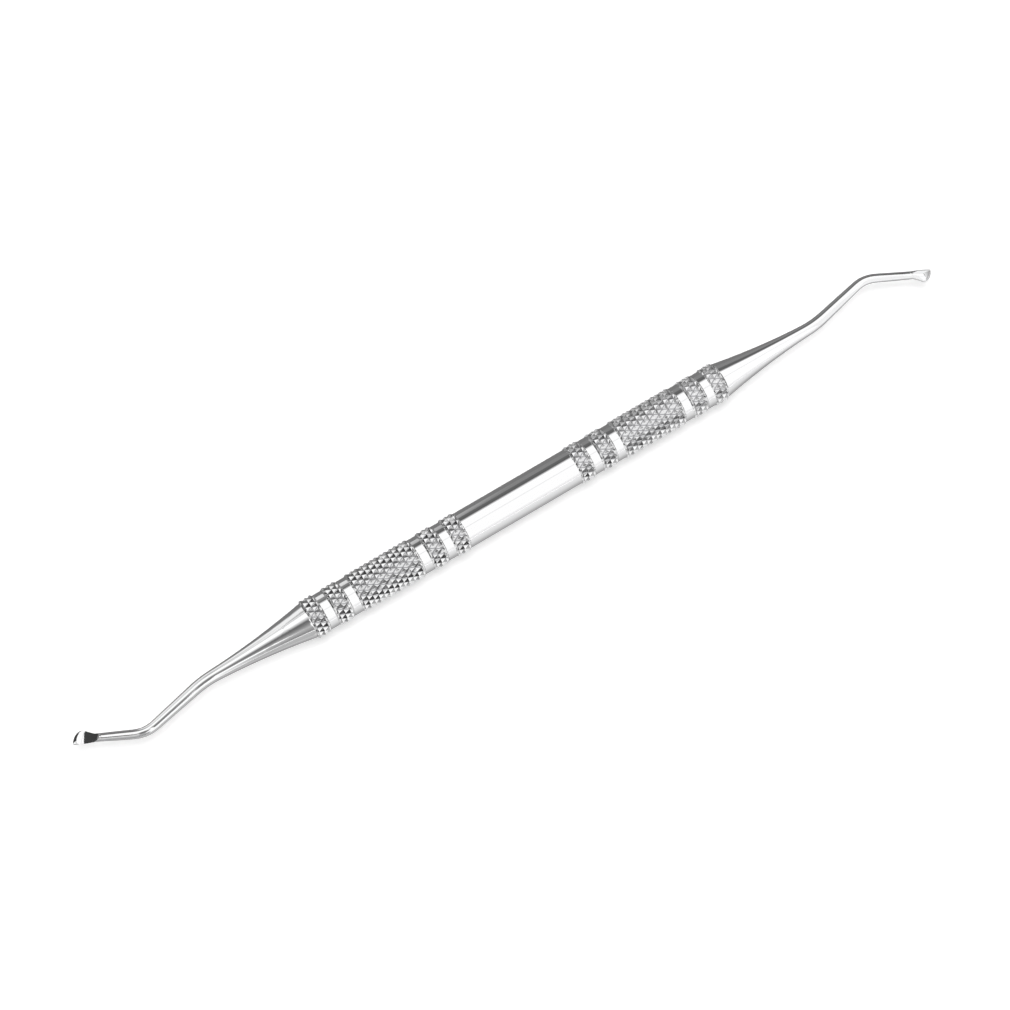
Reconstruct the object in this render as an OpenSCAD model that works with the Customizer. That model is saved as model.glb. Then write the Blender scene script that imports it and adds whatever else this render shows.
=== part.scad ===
// Double-ended modelling tool: a knurled stainless tube with a bent, scooped
// working end brazed into each mouth. Millimetres. The handle lies along X,
// Z is up, and the origin is under the middle of the handle, on the table.

/* [Handle] */
// Outside diameter of the plain bands and of the smooth middle
plain_d = 6.35; // [5:0.05:9]
// Diameter over the points of the knurling
crest_d = 6.9; // [5.4:0.05:10]
// Diameter at the bottom of the knurling's grooves
root_d = 5.95; // [4.8:0.05:8.5]
// Bore of the tube
bore_d = 4.3; // [3:0.05:4.6]
// Length of the smooth middle
middle_len = 21.5; // [8:0.5:50]

/* [Knurling] */
// Knurled section at the mouth of the tube
mouth_knurl = 2.5; // [1.5:0.1:6]
// Knurled section on the outer side of the long grip
outer_knurl = 3; // [1.5:0.1:6]
// Long knurled grip
grip_knurl = 12; // [5:0.5:25]
// Knurled section on the inner side of the long grip
inner_knurl = 3; // [1.5:0.1:6]
// Knurled section next to the smooth middle
middle_knurl = 2.75; // [1.5:0.05:6]
// Width of each plain band between two knurled sections
band_w = 1.5; // [0.6:0.1:4]
// Diamonds around the handle
knurl_starts = 18; // [12:1:24]
// Length of one diamond along the handle
knurl_pitch = 1.84; // [1.2:0.02:3]
// Length over which the knurling runs out at each end of a section
run_out = 0.2; // [0.1:0.05:0.5]
// How far the knurling's ends lie below the plain bands
run_out_drop = 0.1; // [0.05:0.05:0.25]

/* [Fixing of the working ends] */
// Length of the tang inside the tube
tang_len = 12; // [5:0.5:20]
// Gap for braze metal between the tang and the bore, all round
braze_gap = 0.05; // [0.02:0.01:0.12]
// Chamfer inside the mouth of the tube, filled by the braze ring
mouth_chamfer = 0.4; // [0.2:0.05:0.7]
// Lead-in chamfer on the tang's inner end
tang_chamfer = 0.5; // [0.2:0.1:1]

/* [Cone and shank] */
// Diameter of the cone's shoulder, against the tube
shoulder_d = 6.2; // [5.4:0.05:8]
// Broken edge round the shoulder
shoulder_edge = 0.15; // [0.05:0.05:0.4]
// Length of the cone, from the tube to the first bend
cone_len = 17.6; // [10:0.1:30]
// How far the cone's side hollows below a straight taper
cone_sag = 0.29; // [0.05:0.01:0.5]
// Diameter of the shank through the first bend
first_bend_d = 2.2; // [1.8:0.05:3.2]
// Radius of the first bend
first_bend_r = 18; // [6:0.5:40]
// Turn of the first bend
first_bend_turn = 12.5; // [5:0.1:40]
// Straight stretch between the bends
mid_len = 8.5; // [3:0.1:16]
// Diameter of the shank through the second bend
second_bend_d = 1.7; // [1.4:0.05:2.4]
// Radius of the second bend
second_bend_r = 5; // [3:0.1:12]
// Turn of the second bend, back the other way
second_bend_turn = 39; // [10:0.1:70]
// Straight stretch from the second bend to the scoop
tip_len = 6.2; // [2:0.1:12]
// Diameter of the shank where the scoop begins
tip_d = 1.4; // [1:0.05:1.9]

/* [Scoop] */
// Length of the scoop, from the shank to its end
scoop_len = 3.7; // [3:0.05:5]
// Length of the scoop's raked round end
scoop_nose = 1.6; // [1.2:0.05:2.2]
// Angle at which the shank widens into the scoop, each side
scoop_flare = 22; // [14:1:30]
// Reach of the round side from the shank's axis
scoop_belly = 1.4; // [1.1:0.05:1.8]
// Reach of the straight edge from the shank's axis, at the scoop's end
scoop_edge = 1; // [0.75:0.05:1.3]
// Radius of the scoop's rounded back
scoop_back_r = 3; // [2.4:0.1:4]
// Radius of the hollow ground across the scoop
hollow_r = 2.4; // [2:0.1:3.4]
// Depth of the hollow below the shank's upper side
hollow_depth = 0.7; // [0.4:0.05:0.9]
// Slant of the hollow across the scoop
hollow_skew = 17; // [0:1:25]
// Distance of the hollow's deepest line from where the scoop begins
hollow_reach = 1.25; // [0.9:0.05:1.8]

/* [Hidden] */
round_fn = 96;
arc_fn = 720;
shank_sides = 32;
bend_steps = 8;
scoop_steps = 6;
// How far round the scoop's end the last ring lies, which leaves a small flat
end_turn = 80;
spare = 1;
// How far the shank runs back into the cone, and the fine step down to it at the cone's end
shank_lap = 0.5;
cone_step = 0.02;
steel = [0.80, 0.80, 0.82];
steel_end = [0.86, 0.86, 0.88];
braze = [0.82, 0.76, 0.60];

// Knurled sections from the mouth of the tube to its middle, and where each begins
knurl_lens = [mouth_knurl, outer_knurl, grip_knurl, inner_knurl, middle_knurl];
function length_before(i) = i == 0 ? 0 : length_before(i - 1) + knurl_lens[i - 1] + band_w;
knurl_group = length_before(len(knurl_lens) - 1) + middle_knurl;
handle_len = middle_len + 2 * knurl_group;
half_len = handle_len / 2;

// The handle rests on two neighbouring rows of points, so its axis is a little under crest_d / 2 up
row_step = 180 / knurl_starts;
axis_h = crest_d / 2 * cos(row_step / 2);

tang_d = bore_d - 2 * braze_gap;
shoulder_r = shoulder_d / 2;
shank_top = tip_d / 2;

// Centre line of the shank, each place as [x, y, heading] from the tube's mouth
function ahead(p, by) = [p.x + by * cos(p.z), p.y + by * sin(p.z), p.z];
function on_first_bend(t) = [cone_len + first_bend_r * sin(t), first_bend_r * (1 - cos(t)), t];
second_from = ahead(on_first_bend(first_bend_turn), mid_len);
function on_second_bend(t) =
    let (h = first_bend_turn - t)
    [second_from.x + second_bend_r * (sin(first_bend_turn) - sin(h)),
     second_from.y + second_bend_r * (cos(h) - cos(first_bend_turn)),
     h];
scoop_from = ahead(on_second_bend(second_bend_turn), tip_len);

// Distances along that line, and the diameter at each
first_arc = first_bend_r * first_bend_turn * PI / 180;
second_arc = second_bend_r * second_bend_turn * PI / 180;
shank_len = first_arc + mid_len + second_arc + tip_len;
function shank_d(s) = lookup(s, [
    [0, first_bend_d],
    [first_arc + mid_len + second_arc / 2, second_bend_d],
    [shank_len, tip_d]
]);

// Outline of the scoop at a distance x along it: the round side towards -Y, which sweeps round to a
// corner on the straight edge towards +Y, and the back, which rises towards the end
round_x = scoop_len - scoop_nose;
function round_side(x) =
    scoop_edge - (scoop_edge + scoop_belly) * sqrt(1 - (max(0, x - round_x) / scoop_nose) ^ 2);
function scoop_low(x) = max(-shank_top - x * tan(scoop_flare), round_side(x));
function scoop_high(x) = shank_top + x * (scoop_edge - shank_top) / scoop_len;
function scoop_back(x) = max(0, x - hollow_reach) ^ 2 / (2 * scoop_back_r) - shank_top;

// Along +X instead of +Z
module along_x() rotate([0, 90, 0]) children();

// Both ends of the tube
module both_ends() {
    for (turn = [0, 180])
        rotate([0, 0, turn]) translate([half_len, 0, 0]) children();
}

// A closed skin over rings of points that follow each other along +X, each turning from +Y to +Z.
// Each cell is split between the two corners whose places in the grid add up to an odd number.
module skin(rings) {
    sides = len(rings[0]);
    last = len(rings) - 1;
    function at(k, j) = k * sides + j % sides;
    facets = [
        for (k = [0:last - 1]) for (j = [0:sides - 1])
            each (k + j) % 2 == 0
                ? [[at(k, j), at(k + 1, j), at(k, j + 1)],
                   [at(k, j + 1), at(k + 1, j), at(k + 1, j + 1)]]
                : [[at(k, j), at(k + 1, j + 1), at(k, j + 1)],
                   [at(k, j), at(k + 1, j), at(k + 1, j + 1)]]
    ];
    near_cap = [for (j = [0:sides - 1]) at(0, j)];
    far_cap = [for (j = [sides - 1:-1:0]) at(last, j)];
    polyhedron([for (ring = rings) each ring], concat(facets, [near_cap, far_cap]), convexity = 4);
}

// One knurled section from x = 0 to x = length. Its rings lie half a diamond apart and alternate
// crest and root, so four faces rise to every crest. The pattern is centred, so it may be cut
// through a diamond where it runs out. The end rings are plain and a little low.
// Two rows lie evenly beside the lowest line, where the handle rests.
module knurl(length) {
    rows = 2 * knurl_starts;
    half = knurl_pitch / 2;
    reach = (length / 2 - run_out) / half;
    whole = ceil(reach) - 1;
    foot_r = plain_d / 2 - run_out_drop;
    function knurl_r(place, j) =
        root_d / 2 + (crest_d - root_d) / 2 * abs(1 - (place + whole + 2 + j) % 2);
    function ring(x, radii) = [
        for (j = [0:rows - 1])
            let (a = (j + 0.5) * row_step - 90)
            [x, radii[j] * cos(a), radii[j] * sin(a)]
    ];
    function foot(x) = ring(x, [for (j = [1:rows]) foot_r]);
    skin(concat(
        [foot(0)],
        [for (place = concat([-reach], [for (k = [-whole:whole]) k], [reach]))
            ring(length / 2 + place * half, [for (j = [0:rows - 1]) knurl_r(place, j)])],
        [foot(length)]
    ));
}

// Hollow handle: plain bands and middle, knurled sections, and a bore with a chamfer at each mouth
module handle_tube() color(steel) translate([0, 0, axis_h]) difference() {
    union() {
        along_x() cylinder(d = plain_d, h = middle_len, center = true, $fn = round_fn);
        both_ends() for (i = [0:len(knurl_lens) - 1]) {
            translate([-length_before(i) - knurl_lens[i], 0, 0]) knurl(knurl_lens[i]);
            if (i > 0)
                translate([-length_before(i), 0, 0])
                    along_x() cylinder(d = plain_d, h = band_w, $fn = round_fn);
        }
    }
    along_x() cylinder(d = bore_d, h = handle_len + 2 * spare, center = true, $fn = round_fn);
    both_ends() translate([-mouth_chamfer, 0, 0]) along_x()
        cylinder(d1 = bore_d, d2 = bore_d + 2 * mouth_chamfer, h = mouth_chamfer, $fn = round_fn);
}

// Braze metal in the chamfer at one mouth, round the root of the tang
module braze_ring() color(braze) along_x() rotate_extrude($fn = round_fn) polygon([
    [tang_d / 2, -mouth_chamfer],
    [bore_d / 2, -mouth_chamfer],
    [bore_d / 2 + mouth_chamfer, 0],
    [tang_d / 2, 0]
]);

// Half section of the turned stretch: tang, shoulder and cone, whose side is an arc from the
// shoulder's broken edge to the first bend
module turned_section() {
    tang_r = tang_d / 2;
    tail_r = first_bend_d / 2 + cone_step;
    run = cone_len - shoulder_edge;
    drop = shoulder_r - tail_r;
    chord = sqrt(run ^ 2 + drop ^ 2);
    arc_r = (chord ^ 2 / 4 + cone_sag ^ 2) / (2 * cone_sag);
    centre_off = arc_r - cone_sag;
    difference() {
        polygon([
            [0, -tang_len],
            [tang_r - tang_chamfer, -tang_len],
            [tang_r, tang_chamfer - tang_len],
            [tang_r, 0],
            [shoulder_r - shoulder_edge, 0],
            [shoulder_r + spare, shoulder_edge + spare],
            [tail_r + spare, cone_len],
            [0, cone_len]
        ]);
        translate([
            (shoulder_r + tail_r) / 2 + centre_off * run / chord,
            (shoulder_edge + cone_len) / 2 + centre_off * drop / chord
        ])
            circle(r = arc_r, $fn = arc_fn);
    }
}

// Oval ring of points across a place on the centre line, between the given sides and heights
function oval(p, low, high, bottom, top) = [
    for (j = [0:shank_sides - 1])
        let (
            a = 360 * j / shank_sides,
            across = (low + high) / 2 + (high - low) / 2 * cos(a),
            up = (bottom + top) / 2 + (top - bottom) / 2 * sin(a)
        )
        [p.x - across * sin(p.z), p.y + across * cos(p.z), up]
];
function shank_ring(p, s) = let (r = shank_d(s) / 2) oval(p, -r, r, -r, r);
function scoop_ring(x) =
    oval(ahead(scoop_from, x), scoop_low(x), scoop_high(x), scoop_back(x), shank_top);

// Bent shank and scoop, swept along the centre line from just inside the cone's end
module shank() skin(concat(
    [shank_ring(ahead(on_first_bend(0), -shank_lap), 0)],
    [for (i = [0:bend_steps])
        shank_ring(on_first_bend(first_bend_turn * i / bend_steps), first_arc * i / bend_steps)],
    [for (i = [0:bend_steps])
        shank_ring(on_second_bend(second_bend_turn * i / bend_steps),
                   first_arc + mid_len + second_arc * i / bend_steps)],
    [for (i = [0:scoop_steps]) scoop_ring(round_x * i / scoop_steps)],
    [for (i = [1:scoop_steps]) scoop_ring(round_x + scoop_nose * sin(end_turn * i / scoop_steps))]
));

// Round cut across the scoop that hollows it
module hollow() translate([hollow_reach, 0, shank_top - hollow_depth + hollow_r])
    rotate([90, 0, -hollow_skew])
        cylinder(r = hollow_r, h = 4 * scoop_belly, center = true, $fn = round_fn);

// Children placed where the scoop begins
module at_scoop() translate([scoop_from.x, scoop_from.y, 0]) rotate([0, 0, scoop_from.z]) children();

// One working end along +X from the tube's mouth, with its scoop's hollow up
module working_end() color(steel_end) {
    along_x() rotate_extrude($fn = round_fn) turned_section();
    difference() {
        shank();
        at_scoop() hollow();
    }
}

// The right end's scoop is ground on the under side, the left end's on the upper side
module right_working_end() translate([half_len, 0, axis_h]) mirror([0, 0, 1]) working_end();
module left_working_end() translate([-half_len, 0, axis_h]) rotate([0, 0, 180]) working_end();
module right_braze_ring() translate([half_len, 0, axis_h]) braze_ring();
module left_braze_ring() translate([-half_len, 0, axis_h]) rotate([0, 0, 180]) braze_ring();

handle_tube();
left_working_end();
right_working_end();
left_braze_ring();
right_braze_ring();
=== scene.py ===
import math

import bmesh
import bpy
import numpy as np
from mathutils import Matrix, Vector


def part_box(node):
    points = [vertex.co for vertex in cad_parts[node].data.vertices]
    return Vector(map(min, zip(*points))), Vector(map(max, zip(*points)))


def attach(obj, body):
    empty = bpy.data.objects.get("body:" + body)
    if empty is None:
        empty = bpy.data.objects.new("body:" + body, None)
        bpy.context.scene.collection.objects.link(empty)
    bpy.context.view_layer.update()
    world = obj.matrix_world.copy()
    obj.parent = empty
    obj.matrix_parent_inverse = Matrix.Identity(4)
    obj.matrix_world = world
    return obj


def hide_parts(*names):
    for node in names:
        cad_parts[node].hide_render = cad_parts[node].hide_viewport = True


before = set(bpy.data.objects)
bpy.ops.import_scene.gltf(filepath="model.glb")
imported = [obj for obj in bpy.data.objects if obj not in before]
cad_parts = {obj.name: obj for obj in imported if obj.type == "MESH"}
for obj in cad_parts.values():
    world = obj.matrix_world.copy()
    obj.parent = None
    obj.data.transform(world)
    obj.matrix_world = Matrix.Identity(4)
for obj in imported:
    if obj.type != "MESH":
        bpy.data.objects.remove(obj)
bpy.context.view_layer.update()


# Handle tube
# A length of quarter inch stainless tube, bored through and polished bright. A pair of wheels has
# rolled a diamond knurl into five short sections at each end, and plain bands are left between them.
mm = 0.001
plain_r = 3.175 * mm
crest_r = 3.45 * mm
root_r = 2.975 * mm
foot_r = 3.075 * mm
bore_r = 2.15 * mm
mouth_chamfer = 0.4 * mm
band_w = 1.5 * mm
band_edge = 0.05 * mm
run_out = 0.2 * mm
half_pitch = 0.92 * mm
knurl_lengths = [2.5 * mm, 3 * mm, 12 * mm, 3 * mm, 2.75 * mm]
knurl_rows = 36
crest_flat = 0.95
crest_scatter = 0.012 * mm
foot_depth = 0.6
splits = (0, 0.06, 0.94)

tube_low, tube_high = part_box("handle_tube")
axis_h = (tube_low.z + tube_high.z) / 2
half_len = tube_high.x

column_row = np.array([row + split for row in range(knurl_rows) for split in splits])
column_angle = np.radians((column_row + 0.5) * 360 / knurl_rows - 90)
columns = len(column_row)
even_angle = np.radians((np.arange(columns) + 1.5) * 360 / columns - 90)
scatter = np.random.default_rng(11)


def groove_side(turns):
    """1 midway between two grooves of one hand, and 0 at the bottom of a groove."""
    return np.abs(1 - np.mod(turns, 2))


def knurl_rings(start, length):
    """Rings of one knurled section, each as (x, radii, depth in the groove, diamond number)."""
    reach = (length / 2 - run_out) / half_pitch
    whole = math.ceil(reach) - 1
    middle = whole + 2
    places = [number + split for number in range(1, 2 * whole + 3) for split in splits]
    places = [place for place in places if abs(place - middle) < reach - splits[1]]
    places = [middle - reach] + places + [middle + reach]
    foot = (np.full(columns, foot_r), np.full(columns, foot_depth), None)
    rings = [(start, *foot)]
    uneven = scatter.uniform(-crest_scatter, 0, (2 * middle, knurl_rows)).repeat(len(splits), axis=1)
    for place in places:
        height = np.minimum(groove_side(place + column_row), groove_side(place - column_row))
        height = np.minimum(height / crest_flat, 1)
        radii = root_r + (crest_r - root_r + uneven[int(place)]) * height
        x = start + length / 2 + (place - middle) * half_pitch
        rings.append((x, radii, 1 - height, int(place)))
    rings.append((start + length, *foot))
    return rings


def turned_rings(outline):
    """Plain rings through the given points of an outline, each as (x, radius)."""
    return [(x, np.full(columns, r), np.zeros(columns), None) for x, r in outline]


def plain_rings(start, length):
    """Rings of a plain stretch with broken edges."""
    edge_r = plain_r - band_edge
    ends = [(start, edge_r), (start + band_edge, plain_r)]
    ends += [(start + length - band_edge, plain_r), (start + length, edge_r)]
    return turned_rings(ends)


tube_rings = []
place = -half_len
middle_len = 2 * half_len - 2 * sum(knurl_lengths) - 2 * band_w * (len(knurl_lengths) - 1)
for lengths, last_plain in ((knurl_lengths, middle_len), (knurl_lengths[::-1], 0)):
    for number, length in enumerate(lengths):
        tube_rings += knurl_rings(place, length)
        place += length
        gap = band_w if number < len(lengths) - 1 else last_plain
        if gap:
            tube_rings += plain_rings(place, gap)
            place += gap
inside = [(half_len, bore_r + mouth_chamfer), (half_len - mouth_chamfer, bore_r)]
inside += [(mouth_chamfer - half_len, bore_r), (-half_len, bore_r + mouth_chamfer)]
tube_rings += turned_rings(inside)

tube_points = []
tube_faces = []
for number, (x, radii, depth, diamond) in enumerate(tube_rings):
    angle = even_angle if diamond is None else column_angle
    ys = radii * np.cos(angle)
    zs = radii * np.sin(angle) + axis_h
    tube_points += [(x, y, z) for y, z in zip(ys, zs)]
    follows = tube_rings[(number + 1) % len(tube_rings)]
    here = number * columns
    there = (number + 1) % len(tube_rings) * columns
    for column in range(columns):
        beside = (column + 1) % columns
        a, b = here + column, there + column
        c, d = there + beside, here + beside
        if diamond is None or follows[3] is None:
            tube_faces.append((a, b, c, d))
        elif (diamond + int(column_row[column])) % 2 == 0:
            tube_faces += [(a, b, d), (b, c, d)]
        else:
            tube_faces += [(a, b, c), (a, c, d)]


def piece_from(name, points, faces, sharp_angle):
    """A closed mesh whose faces look outwards, smooth over its curves and sharp at its edges."""
    mesh = bpy.data.meshes.new(name)
    mesh.from_pydata(points, [], faces)
    shape = bmesh.new()
    shape.from_mesh(mesh)
    bmesh.ops.recalc_face_normals(shape, faces=shape.faces)
    shape.to_mesh(mesh)
    shape.free()
    mesh.shade_smooth()
    mesh.set_sharp_from_angle(angle=math.radians(sharp_angle))
    piece = bpy.data.objects.new(name, mesh)
    bpy.context.scene.collection.objects.link(piece)
    return piece


knurl_sharp_angle = 12
handle = piece_from("handle", tube_points, tube_faces, knurl_sharp_angle)
groove_depth = handle.data.attributes.new("groove_depth", "FLOAT", "POINT")
groove_depth.data.foreach_set("value", np.concatenate([ring[2] for ring in tube_rings]))

buff_line_detail = 3
cloud_scale = 260
cloud_detail = 2
brightest_mark = 0.1
dullest_mark = 0.45
mark_strength = 0.06
mark_depth = 0.004 * mm


def polish_marks():
    """Fine buffing lines and slow cloudiness over polished steel, stretched by the given scale."""
    tree = bpy.data.node_groups.new("polish_marks", "ShaderNodeTree")
    tree.interface.new_socket("Scale", in_out="INPUT", socket_type="NodeSocketVector")
    tree.interface.new_socket("Dullness", in_out="OUTPUT", socket_type="NodeSocketFloat")
    tree.interface.new_socket("Height", in_out="OUTPUT", socket_type="NodeSocketFloat")
    given = tree.nodes.new("NodeGroupInput")
    result = tree.nodes.new("NodeGroupOutput")
    where = tree.nodes.new("ShaderNodeTexCoord")
    stretched = tree.nodes.new("ShaderNodeVectorMath")
    stretched.operation = "MULTIPLY"
    lines = tree.nodes.new("ShaderNodeTexNoise")
    lines.inputs["Scale"].default_value = 1
    lines.inputs["Detail"].default_value = buff_line_detail
    clouds = tree.nodes.new("ShaderNodeTexNoise")
    clouds.inputs["Scale"].default_value = cloud_scale
    clouds.inputs["Detail"].default_value = cloud_detail
    both = tree.nodes.new("ShaderNodeMath")
    both.operation = "MULTIPLY"
    tree.links.new(where.outputs["Object"], stretched.inputs[0])
    tree.links.new(given.outputs["Scale"], stretched.inputs[1])
    tree.links.new(stretched.outputs[0], lines.inputs["Vector"])
    tree.links.new(where.outputs["Object"], clouds.inputs["Vector"])
    tree.links.new(lines.outputs["Fac"], both.inputs[0])
    tree.links.new(clouds.outputs["Fac"], both.inputs[1])
    tree.links.new(both.outputs[0], result.inputs["Dullness"])
    tree.links.new(lines.outputs["Fac"], result.inputs["Height"])
    return tree


def polished_steel(name, colour, smoothest, dullest, marks_scale):
    """Bright steel whose gloss and surface vary with its polish marks."""
    steel = bpy.data.materials.new(name)
    steel.use_nodes = True
    nodes, links = steel.node_tree.nodes, steel.node_tree.links
    shader = nodes["Principled BSDF"]
    shader.inputs["Base Color"].default_value = (*colour, 1)
    shader.inputs["Metallic"].default_value = 1
    marks = nodes.new("ShaderNodeGroup")
    marks.name = "marks"
    marks.node_tree = bpy.data.node_groups.get("polish_marks") or polish_marks()
    marks.inputs["Scale"].default_value = marks_scale
    gloss = nodes.new("ShaderNodeMapRange")
    gloss.name = "gloss"
    gloss.inputs["From Min"].default_value = brightest_mark
    gloss.inputs["From Max"].default_value = dullest_mark
    gloss.inputs["To Min"].default_value = smoothest
    gloss.inputs["To Max"].default_value = dullest
    bump = nodes.new("ShaderNodeBump")
    bump.inputs["Strength"].default_value = mark_strength
    bump.inputs["Distance"].default_value = mark_depth
    links.new(marks.outputs["Dullness"], gloss.inputs["Value"])
    links.new(gloss.outputs["Result"], shader.inputs["Roughness"])
    links.new(marks.outputs["Height"], bump.inputs["Height"])
    links.new(bump.outputs["Normal"], shader.inputs["Normal"])
    return steel


handle_colour = (0.87, 0.87, 0.875)
handle_smoothest = 0.05
handle_dullest = 0.1
turning_marks = (9000, 120, 120)
# The knurl's grooves turn darker towards their bottoms. This is partly tarnish and partly painted
# shade, standing in for the shade that falls in the grooves.
groove_tarnish_and_shade_colour = (0.5, 0.5, 0.51)
groove_dullness = 0.1
tarnish_and_shade_from = 0.68
handle_steel = polished_steel("bright_tube_steel", handle_colour, handle_smoothest, handle_dullest,
                              turning_marks)
nodes, links = handle_steel.node_tree.nodes, handle_steel.node_tree.links
# Groove depth drives the painted shade and tarnish in the knurl grooves, and their extra roughness.
depth = nodes.new("ShaderNodeAttribute")
depth.attribute_name = "groove_depth"
tarnish_and_shade_mask = nodes.new("ShaderNodeMapRange")
tarnish_and_shade_mask.inputs["From Min"].default_value = tarnish_and_shade_from
tarnish_and_shade_mask.inputs["From Max"].default_value = 1
tarnish_and_shade_mix = nodes.new("ShaderNodeMix")
tarnish_and_shade_mix.data_type = "RGBA"
tarnish_and_shade_mix.inputs["A"].default_value = (*handle_colour, 1)
tarnish_and_shade_mix.inputs["B"].default_value = (*groove_tarnish_and_shade_colour, 1)
rougher = nodes.new("ShaderNodeMath")
rougher.operation = "MULTIPLY_ADD"
rougher.inputs[1].default_value = groove_dullness
shader = nodes["Principled BSDF"]
links.new(depth.outputs["Fac"], tarnish_and_shade_mask.inputs["Value"])
links.new(tarnish_and_shade_mask.outputs["Result"], tarnish_and_shade_mix.inputs["Factor"])
links.new(tarnish_and_shade_mix.outputs["Result"], shader.inputs["Base Color"])
links.new(depth.outputs["Fac"], rougher.inputs[0])
links.new(nodes["gloss"].outputs["Result"], rougher.inputs[2])
links.new(rougher.outputs[0], shader.inputs["Roughness"])
handle.data.materials.append(handle_steel)
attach(handle, "root")
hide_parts("handle_tube")


# Working ends
# Each end is forged from stainless rod, ground to a long hollow-sided cone, bent twice and hollowed
# at the tip into a small scoop. Its tang is brazed into the mouth of the tube.
tang_len = 12 * mm
tang_r = 2.1 * mm
tang_chamfer = 0.5 * mm
tang_root = 0.02 * mm
shoulder_r = 3.1 * mm
shoulder_edge = 0.15 * mm
edge_ease = 0.3 * shoulder_edge
cone_len = 17.6 * mm
cone_sag = 0.29 * mm
first_bend_r = 18 * mm
first_bend_turn = math.radians(12.5)
mid_len = 8.5 * mm
second_bend_r = 5 * mm
second_bend_turn = math.radians(39)
tip_len = 6.2 * mm
first_bend_shank_r = 1.1 * mm
second_bend_shank_r = 0.85 * mm
tip_r = 0.7 * mm
bend_blend = 1.2 * mm

scoop_len = 3.7 * mm
scoop_nose = 1.6 * mm
scoop_belly = 1.4 * mm
scoop_edge = 1 * mm
scoop_flare = math.tan(math.radians(22))
flare_blend = 0.5 * mm
scoop_back_r = 3 * mm
end_turn = math.radians(86)
hollow_r = 2.4 * mm
hollow_depth = 0.7 * mm
hollow_reach = 1.25 * mm
hollow_skew = math.radians(17)
rim_break = 0.03 * mm

shank_step = 0.25 * mm
scoop_step = 0.04 * mm
scoop_lead = 0.6 * mm
outer_points = 44
inner_points = 20
ring_size = outer_points + inner_points
ring_start = math.pi * 0.75
rim_search = np.radians(np.linspace(5, 175, 681))
rim_gather = 0.3 * mm
rim_least = 1
rim_spread = 45

first_arc = first_bend_r * first_bend_turn
second_arc = second_bend_r * second_bend_turn
bend_places = np.cumsum([cone_len, first_arc, mid_len, second_arc])
scoop_from = bend_places[-1] + tip_len
end_len = scoop_from + scoop_len
fine_step = 0.02 * mm
fine = np.arange(0, end_len + fine_step, fine_step)


def blended(values, length):
    """The values along the shank with their corners rounded over the given length."""
    count = round(length / fine_step)
    padded = np.pad(values, count, mode="edge")
    kernel = np.ones(count) / count
    return np.convolve(np.convolve(padded, kernel, "same"), kernel, "same")[count:-count]


heading = np.interp(fine, bend_places, [0, first_bend_turn, first_bend_turn,
                                        first_bend_turn - second_bend_turn])
heading = blended(heading, bend_blend)
centre_x = np.concatenate([[0], np.cumsum(np.cos(heading[:-1]) * fine_step)])
centre_y = np.concatenate([[0], np.cumsum(np.sin(heading[:-1]) * fine_step)])
along_cone = np.clip((fine - shoulder_edge) / (cone_len - shoulder_edge), 0, 1)
cone_r = shoulder_r + (first_bend_shank_r - shoulder_r) * along_cone
cone_r = cone_r - 4 * cone_sag * along_cone * (1 - along_cone)
shank_r = np.interp(fine, [cone_len, (bend_places[2] + bend_places[3]) / 2, scoop_from],
                    [first_bend_shank_r, second_bend_shank_r, tip_r])
fine_r = np.where(fine < cone_len, cone_r, shank_r)
fine_r = np.where(fine < cone_len / 2, fine_r, blended(fine_r, bend_blend))


def scoop_sides(x):
    """Sides, back and top of the scoop before it is hollowed, at a distance along it."""
    past = min(1, max(0, x - scoop_len + scoop_nose) / scoop_nose)
    round_side = scoop_edge - (scoop_edge + scoop_belly) * math.sqrt(1 - past ** 2)
    flare = scoop_flare * (max(0, x) ** 2 / 2 / flare_blend if x < flare_blend else x - flare_blend / 2)
    low = max(-tip_r - flare, round_side)
    high = tip_r + max(0, x) * (scoop_edge - tip_r) / scoop_len
    back = max(0, x - hollow_reach) ** 2 / (2 * scoop_back_r) - tip_r
    return low, high, back, tip_r


def hollow_z(x, y):
    """Height of the ground hollow's surface."""
    off = (x - hollow_reach) * math.cos(hollow_skew) - y * math.sin(hollow_skew)
    off = np.clip(off, -hollow_r, hollow_r)
    return tip_r - hollow_depth + hollow_r - np.sqrt(hollow_r ** 2 - off ** 2)


def cross_section(s):
    """Points round the end at a distance s along it, as (across, up), the ground face last."""
    x = s - scoop_from
    if x < 0:
        r = np.interp(s, fine, fine_r)
        low, high, back, top = -r, r, -r, r
    else:
        low, high, back, top = scoop_sides(x)
    mid_y, half_y = (low + high) / 2, (high - low) / 2
    mid_z, half_z = (back + top) / 2, (top - back) / 2
    clear = hollow_z(x, mid_y + half_y * np.cos(rim_search)) - (mid_z + half_z * np.sin(rim_search))
    cut = np.nonzero(clear < 0)[0]
    is_cut = len(cut) > 0 and x > -hollow_r
    if is_cut:
        right, left = rim_search[cut[0]], rim_search[cut[-1]]
    else:
        nearest = rim_search[np.argmin(clear)]
        closeness = math.exp(-abs(clear.min()) / rim_gather)
        middle = math.pi / 2 + (nearest - math.pi / 2) * closeness
        spread = math.radians(rim_least + rim_spread * (1 - closeness))
        right, left = middle - spread, middle + spread
    inset = rim_break / half_y
    outer = np.linspace(left + inset, 2 * math.pi + right - inset, outer_points)
    ring = [(mid_y + half_y * math.cos(a), mid_z + half_z * math.sin(a)) for a in outer]
    if is_cut:
        first, last = mid_y + half_y * math.cos(right), mid_y + half_y * math.cos(left)
        margin = min(rim_break, (first - last) / 4)
        across = np.linspace(first - margin, last + margin, inner_points)
        ring += [(y, float(hollow_z(x, y))) for y in across]
    else:
        top_arc = np.linspace(right + inset / 2, left - inset / 2, inner_points)
        ring += [(mid_y + half_y * math.cos(a), mid_z + half_z * math.sin(a)) for a in top_arc]
    return ring


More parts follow.
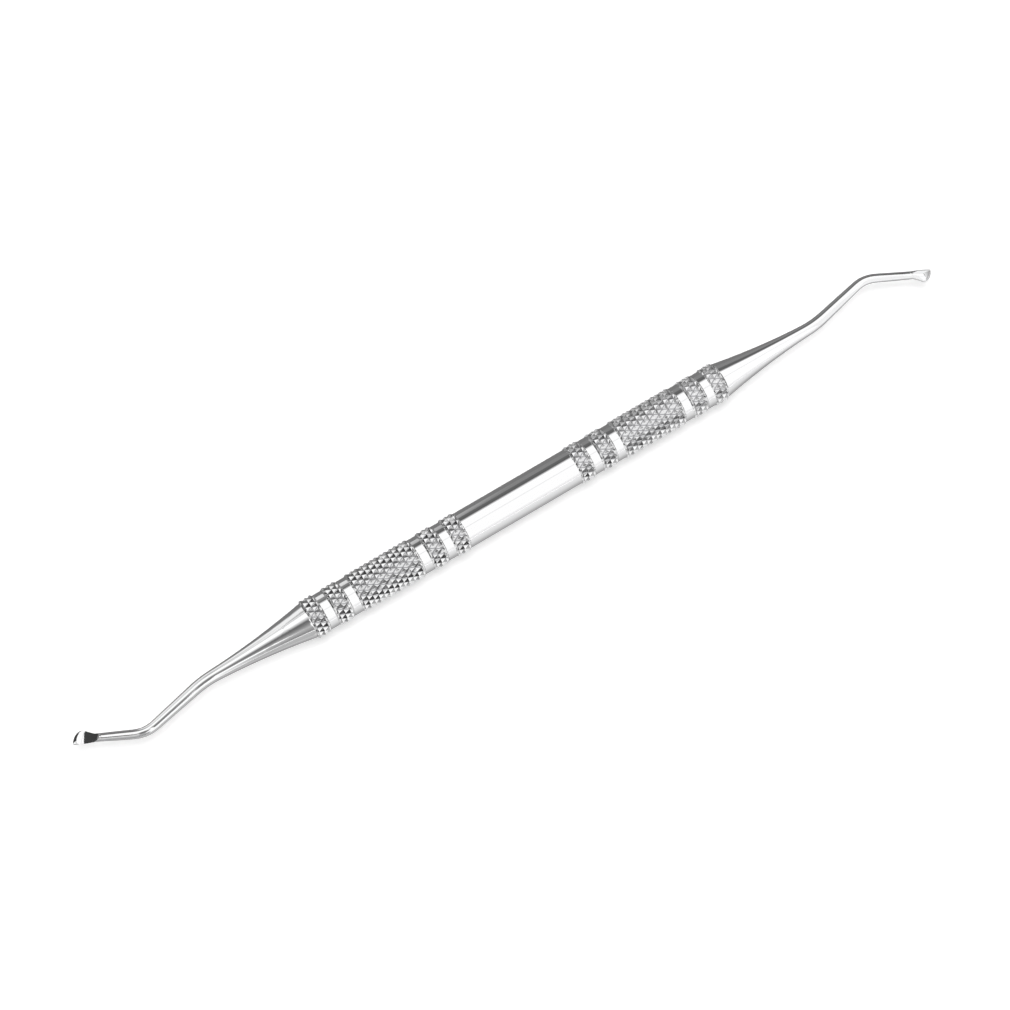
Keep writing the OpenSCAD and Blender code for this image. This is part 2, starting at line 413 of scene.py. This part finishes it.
def end_rings():
    """Rings of one working end along +X from the tube's mouth, its hollow up."""
    turn = np.linspace(0, 2 * math.pi, ring_size, endpoint=False) + ring_start
    rings = []
    tang = [(-tang_len, tang_r - tang_chamfer), (tang_chamfer - tang_len, tang_r), (-tang_root, tang_r)]
    shoulder = [(0, tang_r + tang_root), (0, shoulder_r - shoulder_edge)]
    shoulder += [(edge_ease, shoulder_r - edge_ease)]
    for x, r in tang + shoulder:
        rings.append([(x, r * math.cos(a), r * math.sin(a)) for a in turn])
    scoop_start = scoop_from - scoop_lead
    places = np.concatenate([
        np.arange(shoulder_edge, scoop_start, shank_step),
        np.arange(scoop_start, end_len - scoop_nose * (1 - math.sin(end_turn)), scoop_step),
    ])
    for s in places:
        x, y = np.interp(s, fine, centre_x), np.interp(s, fine, centre_y)
        h = np.interp(s, fine, heading)
        rings.append([(x - across * math.sin(h), y + across * math.cos(h), up)
                      for across, up in cross_section(s)])
    return rings


shank_rings = end_rings()
end_faces = []
for number in range(len(shank_rings) - 1):
    for side in range(ring_size):
        beside = (side + 1) % ring_size
        here, there = number * ring_size, (number + 1) * ring_size
        end_faces.append((here + side, there + side, there + beside, here + beside))
end_faces.append(tuple(range(ring_size)))
end_faces.append(tuple((len(shank_rings) - 1) * ring_size + side for side in range(ring_size)))

end_sharp_angle = 25
end_colour = (0.88, 0.88, 0.885)
end_smoothest = 0.05
end_dullest = 0.11
grinding_marks = (300, 4000, 4000)
end_steel = polished_steel("mirror_end_steel", end_colour, end_smoothest, end_dullest, grinding_marks)
for side, along, up in (("left", -1, 1), ("right", 1, -1)):
    placed = [(along * (half_len + x), along * y, axis_h + up * z)
              for ring in shank_rings for x, y, z in ring]
    working_end = piece_from(f"{side}_end", placed, end_faces, end_sharp_angle)
    working_end.data.materials.append(end_steel)
    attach(working_end, "root")
    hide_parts(f"{side}_working_end")


# Braze rings
# A ring of pale silver braze fills the chamfer at each mouth of the tube, where it flowed round the
# root of the tang. The solid's own shape is kept, and it takes a matt, slightly mottled finish.
braze_bright = (0.8, 0.74, 0.58)
braze_dark = (0.62, 0.54, 0.38)
mottle_scale = 2500
braze_smoothest = 0.22
braze_dullest = 0.4
braze = bpy.data.materials.new("silver_braze")
braze.use_nodes = True
nodes, links = braze.node_tree.nodes, braze.node_tree.links
shader = nodes["Principled BSDF"]
shader.inputs["Metallic"].default_value = 1
mottle = nodes.new("ShaderNodeTexNoise")
mottle.inputs["Scale"].default_value = mottle_scale
tint = nodes.new("ShaderNodeMix")
tint.data_type = "RGBA"
tint.inputs["A"].default_value = (*braze_bright, 1)
tint.inputs["B"].default_value = (*braze_dark, 1)
flow = nodes.new("ShaderNodeMapRange")
flow.inputs["To Min"].default_value = braze_smoothest
flow.inputs["To Max"].default_value = braze_dullest
links.new(mottle.outputs["Fac"], tint.inputs["Factor"])
links.new(tint.outputs["Result"], shader.inputs["Base Color"])
links.new(mottle.outputs["Fac"], flow.inputs["Value"])
links.new(flow.outputs["Result"], shader.inputs["Roughness"])
for side in ("left", "right"):
    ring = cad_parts[f"{side}_braze_ring"]
    ring.data.materials.clear()
    ring.data.materials.append(braze)


# Floor
# A plain white sheet under the tool. It looks white to the camera and in the steel, and keeps the
# soft shadow under the handle.
floor_half = 2
floor_white = 0.8
floor_lift = 0.4
floor_mesh = bpy.data.meshes.new("floor")
corners = [(-floor_half, -floor_half, 0), (floor_half, -floor_half, 0),
           (floor_half, floor_half, 0), (-floor_half, floor_half, 0)]
floor_mesh.from_pydata(corners, [], [(0, 1, 2, 3)])
floor = bpy.data.objects.new("floor", floor_mesh)
bpy.context.scene.collection.objects.link(floor)
sheet = bpy.data.materials.new("white_sheet")
sheet.use_nodes = True
nodes, links = sheet.node_tree.nodes, sheet.node_tree.links
shader = nodes["Principled BSDF"]
shader.inputs["Base Color"].default_value = (floor_white, floor_white, floor_white, 1)
shader.inputs["Roughness"].default_value = 1
shader.inputs["Specular IOR Level"].default_value = 0
shader.inputs["Emission Color"].default_value = (1, 1, 1, 1)


def seen_rays(nodes, links):
    """1 for rays from the camera, in the steel or through glass, and 0 for those that only light."""
    path = nodes.new("ShaderNodeLightPath")
    steel_too = nodes.new("ShaderNodeMath")
    steel_too.operation = "MAXIMUM"
    glass_too = nodes.new("ShaderNodeMath")
    glass_too.operation = "MAXIMUM"
    links.new(path.outputs["Is Camera Ray"], steel_too.inputs[0])
    links.new(path.outputs["Is Glossy Ray"], steel_too.inputs[1])
    links.new(steel_too.outputs[0], glass_too.inputs[0])
    links.new(path.outputs["Is Transmission Ray"], glass_too.inputs[1])
    return glass_too.outputs[0]


lift = nodes.new("ShaderNodeMath")
lift.operation = "MULTIPLY"
lift.inputs[1].default_value = floor_lift
links.new(seen_rays(nodes, links), lift.inputs[0])
links.new(lift.outputs[0], shader.inputs["Emission Strength"])
floor_mesh.materials.append(sheet)


# Studio
# A white tent stands over the floor, and grey and dark cards round it give the steel its edges. The
# cards show only in the steel. A soft lamp overhead throws the shadow that lies under the handle.
ambient = 0.66
world = bpy.data.worlds.new("tent")
bpy.context.scene.world = world
world.use_nodes = True
nodes, links = world.node_tree.nodes, world.node_tree.links
level = nodes.new("ShaderNodeMapRange")
level.inputs["To Min"].default_value = ambient
level.inputs["To Max"].default_value = 1
links.new(seen_rays(nodes, links), level.inputs["Value"])
links.new(level.outputs["Result"], nodes["Background"].inputs["Strength"])
nodes["Background"].inputs["Color"].default_value = (1, 1, 1, 1)

card_paint = bpy.data.materials.new("card_paint")
card_paint.use_nodes = True
nodes, links = card_paint.node_tree.nodes, card_paint.node_tree.links
shader = nodes["Principled BSDF"]
shader.inputs["Base Color"].default_value = (0, 0, 0, 1)
shader.inputs["Specular IOR Level"].default_value = 0
shader.inputs["Emission Color"].default_value = (1, 1, 1, 1)
corner_grey = nodes.new("ShaderNodeAttribute")
corner_grey.attribute_name = "grey"
links.new(corner_grey.outputs["Fac"], shader.inputs["Emission Strength"])


def card(name, corners, greys):
    """A flat card that shows only in the steel, with a grey at each corner."""
    mesh = bpy.data.meshes.new(name)
    mesh.from_pydata(corners, [], [tuple(range(len(corners)))])
    mesh.attributes.new("grey", "FLOAT", "POINT").data.foreach_set("value", greys)
    mesh.materials.append(card_paint)
    made = bpy.data.objects.new(name, mesh)
    bpy.context.scene.collection.objects.link(made)
    made.visible_camera = False
    made.visible_diffuse = False
    made.visible_shadow = False


def upright(name, x0, x1, y, z0, z1, greys):
    """A card standing across Y, its greys given for low left, low right, high right, high left."""
    card(name, [(x0, y, z0), (x1, y, z0), (x1, y, z1), (x0, y, z1)], greys)


def lying(name, x0, x1, y0, y1, z, greys):
    """A card lying level, its greys given for near left, near right, far right, far left."""
    card(name, [(x0, y0, z), (x1, y0, z), (x1, y1, z), (x0, y1, z)], greys)


def sideways(name, x, y0, y1, z0, z1, greys):
    """A card standing across X, its greys given for low near, low far, high far, high near."""
    card(name, [(x, y0, z0), (x, y1, z0), (x, y1, z1), (x, y0, z1)], greys)


def flag(name, outline, height, grey):
    """A small card held level over a tip, its outline and height in millimetres."""
    card(name, [(x * mm, y * mm, height * mm) for x, y in outline], [grey] * len(outline))


# The roof of the tent, its darker far end, and the cards hung just under it on the left and right.
tent_white = 1.15
tent_reach = 3
roof_h = 0.9
hung_h = roof_h - 0.01
far_y = 0.8
roof_edge = 0.5
roof_fade = 0.24
fade_end = roof_edge + roof_fade
dark_end = 0.12
pale_end = 0.85
roof_strips = [(-tent_reach, -0.38, dark_end, dark_end), (-0.38, -0.08, pale_end, pale_end),
               (-0.08, 0.05, pale_end, dark_end), (0.05, tent_reach, dark_end, dark_end)]
lying("roof", -tent_reach, tent_reach, -tent_reach, roof_edge, roof_h, [tent_white] * 4)
for x0, x1, dark0, dark1 in roof_strips:
    lying("roof_fade", x0, x1, roof_edge, fade_end, roof_h, [1, 1, dark1, dark0])
    lying("roof_end", x0, x1, fade_end, far_y, roof_h, [dark0, dark1, dark1, dark0])
lying("roof_frame", -0.38, -0.06, 0.54, 0.63, hung_h, [0.62] * 4)
lying("roof_seam", -tent_reach, tent_reach, -0.25, -0.17, hung_h, [0.95] * 4)
left_x = -0.36
left_fade_x = -0.33
for name, side_name, x0, y0, y1, grey in (
        ("left_roof", "left_roof_side", -tent_reach, -0.95, 0, 0.06),
        ("left_roof_far", "left_roof_corner", -0.545, 0, 0.4, 0.18)):
    lying(name, x0, left_x, y0, y1, hung_h, [grey] * 4)
    lying(side_name, left_x, left_fade_x, y0, y1, hung_h, [grey, 1, 1, grey])
right_x = 1.26
right_fade_x = 1.2
right_near_y = -0.45
right_far_y = 0.3
right_grey = 0.35
lying("right_roof", right_x, tent_reach, right_near_y, right_far_y, hung_h, [right_grey] * 4)
lying("right_roof_side", right_fade_x, right_x, right_near_y, right_far_y, hung_h,
      [1, right_grey, right_grey, 1])

# The far wall, darker above than below, and its left part, which is paler.
top_from = 0.43
left_top_from = 0.2
left_end = -0.62
left_part = -0.2
low_grey = 0.25
upright("far_top", 0.15, tent_reach, far_y, top_from, roof_h, [0.15, 0.15, dark_end, dark_end])
upright("far_top_left", -0.15, 0.15, far_y, top_from, roof_h, [0.9, 0.15, dark_end, 0.9])
upright("far_low", 0.17, tent_reach, far_y, 0, top_from, [low_grey] * 4)
upright("far_low_edge", 0.06, 0.17, far_y, 0, top_from, [1, low_grey, low_grey, 1])
upright("far_low_left", left_part, 0.06, far_y, 0, left_top_from, [0.22, 0.22, 1, 1])
upright("far_left_low", left_end, left_part, far_y, 0, left_top_from, [0.35] * 4)
upright("far_left", left_end, left_part, far_y, left_top_from, roof_h, [0.5] * 4)

# Sheets on the floor that give the lower edges their grey. The near sheets, and the cone and tip sheets
# on the left, are painted shadow: a grey copy of the floor's shade under and beside the tool, which
# shows only in the steel. Each pair of near steps is (mm out, grey).
sheet_h = 0.2 * mm
upper_sheet_h = 0.3 * mm
near_shadow_steps = [(1.2, 0.2), (3.7, 0.38), (5.3, 0.52), (7.9, 0.72), (12, 0.83), (23, 0.91), (60, 1)]
lying("far_sheet", -1, 2, 4 * mm, far_y, sheet_h, [0.21, 0.21, 0.23, 0.23])
for (y0, grey0), (y1, grey1) in zip(near_shadow_steps, near_shadow_steps[1:]):
    lying("near_shadow_sheet", -0.3, 0.3, -y1 * mm, -y0 * mm, sheet_h, [grey1, grey1, grey0, grey0])
lying("cone_shadow_sheet", -78.5 * mm, -41 * mm, -60 * mm, -7 * mm, upper_sheet_h, [0.6, 0.6, 0.5, 0.5])
lying("tip_shadow_sheet", -130 * mm, -78.5 * mm, -60 * mm, -8 * mm, upper_sheet_h, [0.4, 0.4, 0.28, 0.28])

# The near wall, the dark cards on the near and left sides, and the small cards round the two tips.
near_dark_y = -0.3
near_dark_top = 0.19
wall_x = -0.6
wall_top = 1
wall_part = 0.15
left_flag = [(-80.3, 1), (-77.7, 1.95), (-77.9, 10), (-84, 40), (-130, 40), (-90, 8), (-83, 2)]
left_flag_h = 7
right_flag = [(81.7, 1), (82.4, 1.6), (83.6, 3.6), (85, 5.6), (88.3, 10.2), (93, 17), (76, 17),
              (75.5, 7.5), (77.6, 6.4), (79, 4.6), (79.9, 3.1), (80.8, 1.9)]
right_flag_h = 12
upright("near_wall", -0.3, tent_reach, -tent_reach, 0, roof_h, [0.9, 0.9, tent_white, tent_white])
upright("near_dark", -0.36, -0.085, near_dark_y, 0, near_dark_top, [0.22, 0.22, 0.53, 0.53])
upright("near_dark_edge", -0.085, -0.06, near_dark_y, 0, near_dark_top, [0.22, 1, 1, 0.53])
upright("left_tip_card", -160 * mm, -95 * mm, -50 * mm, 0, 80 * mm, [0.4, 0.4, 0.9, 0.9])
sideways("left_wall", wall_x, -1.25, wall_part, 0, wall_top, [0.03] * 4)
sideways("left_wall", wall_x, wall_part, far_y, 0, wall_top, [0.04, 0.25, 0.25, 0.04])
flag("scoop_flag", left_flag, left_flag_h, 0.05)
flag("tip_flag", right_flag, right_flag_h, 0.12)
upright("scoop_far_card", 84.6 * mm, 112 * mm, 5 * mm, 4 * mm, 29 * mm, [1] * 4)
upright("scoop_near_card", 64 * mm, 77.5 * mm, -8 * mm, 4 * mm, 24 * mm, [1] * 4)
sideways("scoop_end_card", 105 * mm, -35 * mm, 5 * mm, 4 * mm, 20 * mm, [0.3, 0.3, 1, 1])

lamp_size = 0.5
lamp_energy = 3.2
lamp_place = (0, -0.03, 1)
lamp = bpy.data.lights.new("top_lamp", "AREA")
lamp.shape = "DISK"
lamp.size = lamp_size
lamp.energy = lamp_energy
lamp_stand = bpy.data.objects.new("top_lamp", lamp)
lamp_stand.location = lamp_place
lamp_stand.visible_glossy = False
lamp_stand.visible_camera = False
bpy.context.scene.collection.objects.link(lamp_stand)


# Camera
# It looks down on the tool from the near side, turned so that the handle rises to the right. Dark
# cards level with it and under it stand for its body and the arm it hangs from, which the steel shows.
azimuth = math.radians(-32.22)
elevation = math.radians(67.65)
distance = 461.9 * mm
lens_mm = 100
sensor_mm = 36
look_at = Vector((-2.277 * mm, 0.114 * mm, axis_h))
back = Vector((math.sin(azimuth) * math.cos(elevation), -math.cos(azimuth) * math.cos(elevation),
               math.sin(elevation)))
lens = bpy.data.cameras.new("camera")
lens.lens = lens_mm
lens.sensor_width = sensor_mm
lens.clip_start = 10 * mm
camera = bpy.data.objects.new("camera", lens)
camera.location = look_at + back * distance
camera.rotation_euler = (-back).to_track_quat("-Z", "Y").to_euler()
bpy.context.scene.collection.objects.link(camera)
bpy.context.scene.camera = camera
bpy.context.scene.view_settings.view_transform = "Standard"

right = Vector((math.cos(azimuth), math.sin(azimuth), 0))
ahead = Vector((-math.sin(azimuth), math.cos(azimuth), 0))
body_middle = (-20, -10, 0.12)
body_rim = [(-65, 60, 0.16), (-45, 70, 0.16), (-20, 40, 0.16), (20, 5, 0.2), (60, -40, 0.22),
            (95, -110, 0.27), (110, -190, 0.32), (150, -350, 0.46), (240, -620, 0.6), (60, -620, 0.58),
            (0, -350, 0.42), (-30, -150, 0.22), (-50, -60, 0.17), (-60, 0, 0.16)]
body_fade = 40


def beside_camera(u, v):
    """A point level with the camera, u mm to its right and v mm ahead of it."""
    return camera.location + (right * u + ahead * v) * mm


for first, second in zip(body_rim, body_rim[1:] + body_rim[:1]):
    corners = [beside_camera(u, v) for u, v, grey in (body_middle, first, second)]
    card("camera_body", corners, [body_middle[2], first[2], second[2]])
    outer = []
    for u, v, grey in (second, first):
        du, dv = u - body_middle[0], v - body_middle[1]
        wider = 1 + body_fade / math.hypot(du, dv)
        outer.append(beside_camera(body_middle[0] + du * wider, body_middle[1] + dv * wider))
    card("body_fade", corners[1:] + outer, [first[2], second[2], 1, 1])
arm_rows = [(-72, 5, 1), (-64, -28, 0.2), (-58, -52, 0.2), (-46, -97, 0.2), (-43, -108, 1)]
arm_w = 20
arm_h = 100
for (x0, y0, grey0), (x1, y1, grey1) in zip(arm_rows, arm_rows[1:]):
    edges = [(x0, y0), (x0 + arm_w, y0), (x1 + arm_w, y1), (x1, y1)]
    card("arm", [(x * mm, y * mm, arm_h * mm) for x, y in edges], [grey0, grey0, grey1, grey1])
